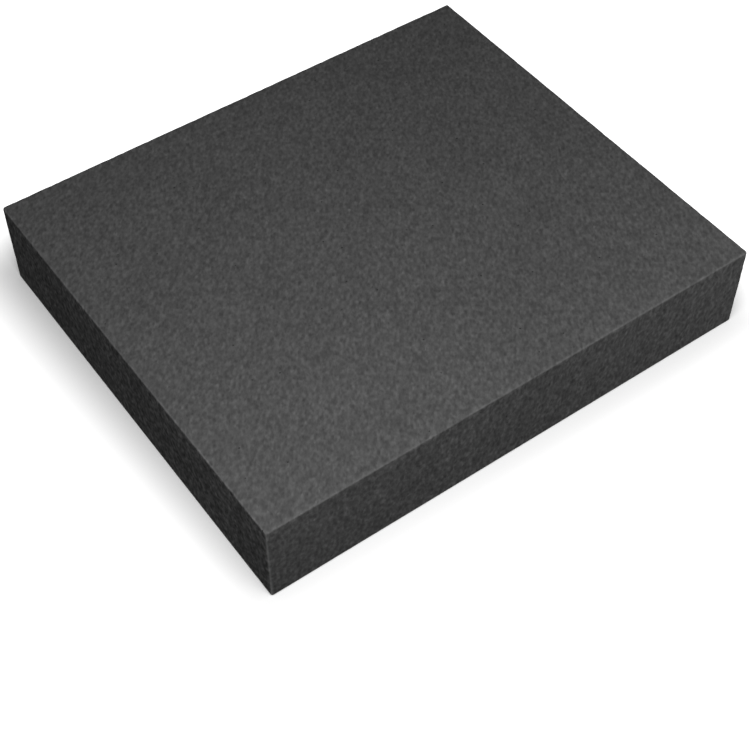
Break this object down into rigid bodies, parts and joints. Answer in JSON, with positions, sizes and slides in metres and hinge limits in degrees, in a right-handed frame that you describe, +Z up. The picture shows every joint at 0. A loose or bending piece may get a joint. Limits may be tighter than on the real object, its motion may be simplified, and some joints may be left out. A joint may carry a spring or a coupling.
{
  "type": "craft foam sheet",
  "caption": "Rectangular slab of soft open-cell craft foam with cut faces and crisp, slightly rounded edges, for padding, lining and cutting to shape.",
  "frame": {"origin": "middle of the flat underside, on the surface that the sheet lies on", "axes": "+X along the length, +Y along the width, +Z up through the thickness"},
  "size_m": [0.3556, 0.3048, 0.0635],
  "materials": {
    "charcoal_foam": "dead matt open-cell foam with a fine even grain of pores on every cut face, charcoal grey all the way through"
  },
  "bodies": {
    "root": {"foam_sheet": "charcoal_foam"}
  },
  "joints": []
}
